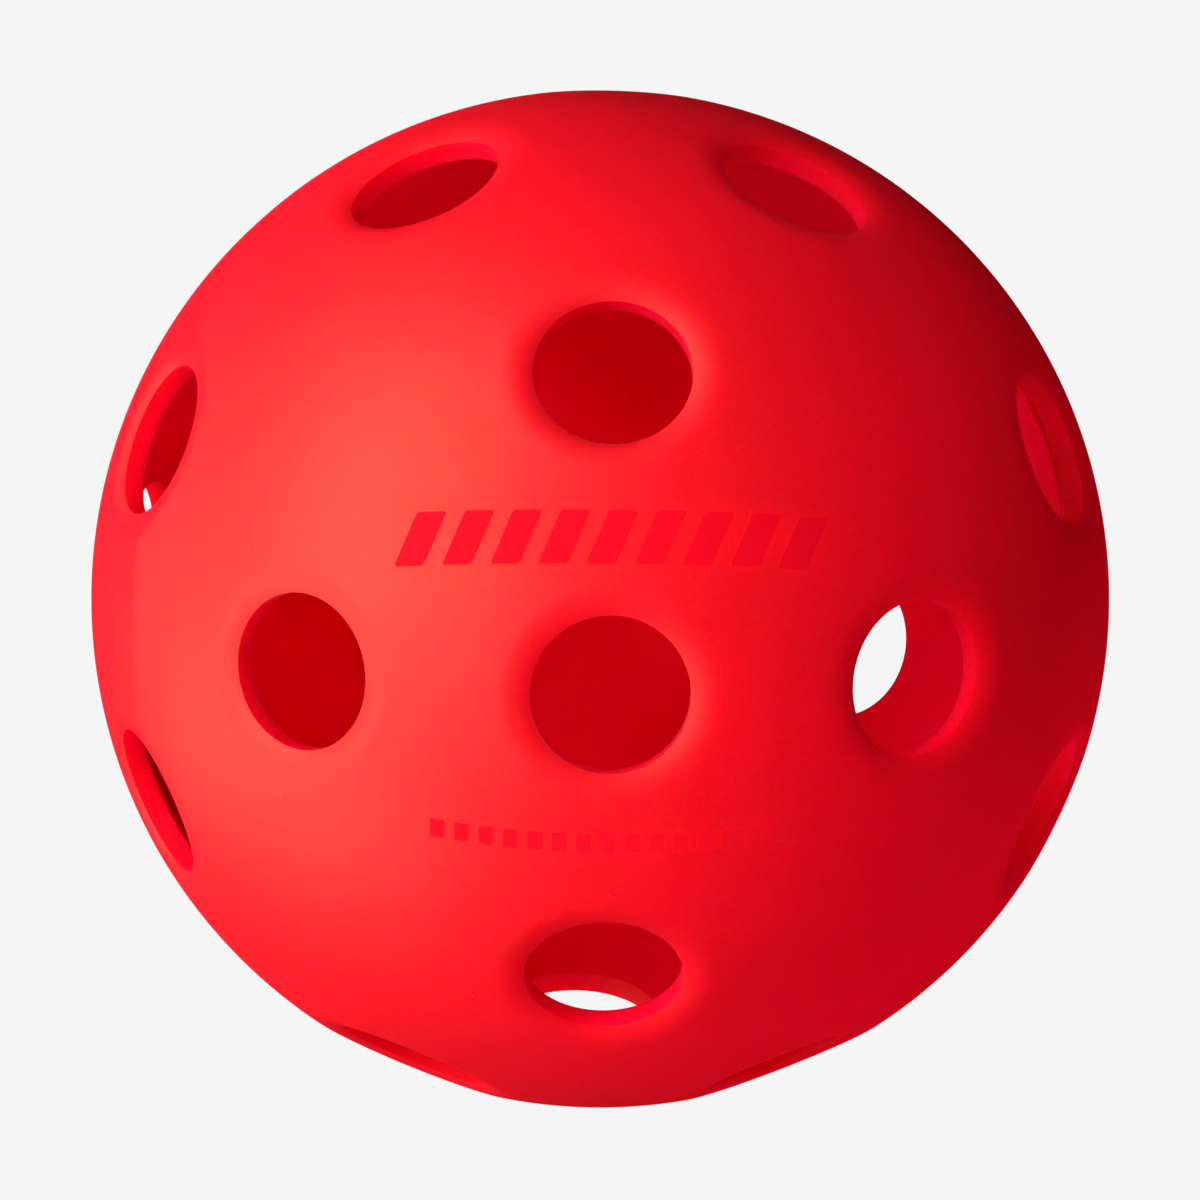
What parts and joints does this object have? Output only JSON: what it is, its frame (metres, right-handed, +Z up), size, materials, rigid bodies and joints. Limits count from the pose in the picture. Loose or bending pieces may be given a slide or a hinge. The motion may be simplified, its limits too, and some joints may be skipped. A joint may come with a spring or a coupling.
{
  "type": "pickleball ball",
  "caption": "Perforated hollow court ball of two moulded half shells welded along a stepped seam, with a clear way through both poles.",
  "frame": {"origin": "centre of the ball", "axes": "-Y through the front half's pole hole, +Z up through a hole of the front half's inner ring, +X to the right seen from the front"},
  "size_m": [0.074, 0.0724, 0.074],
  "materials": {
    "shell": "matte moulded polyethylene, coral red, faintly stippled",
    "weld": "smooth remelted polyethylene, coral red",
    "ink": "thin pad-printed ink, deeper red than the shell"
  },
  "bodies": {
    "root": {"front_half_shell": "shell", "rear_half_shell": "shell", "weld_bead": "weld", "printed_band": "ink", "printed_line": "ink"}
  },
  "joints": []
}
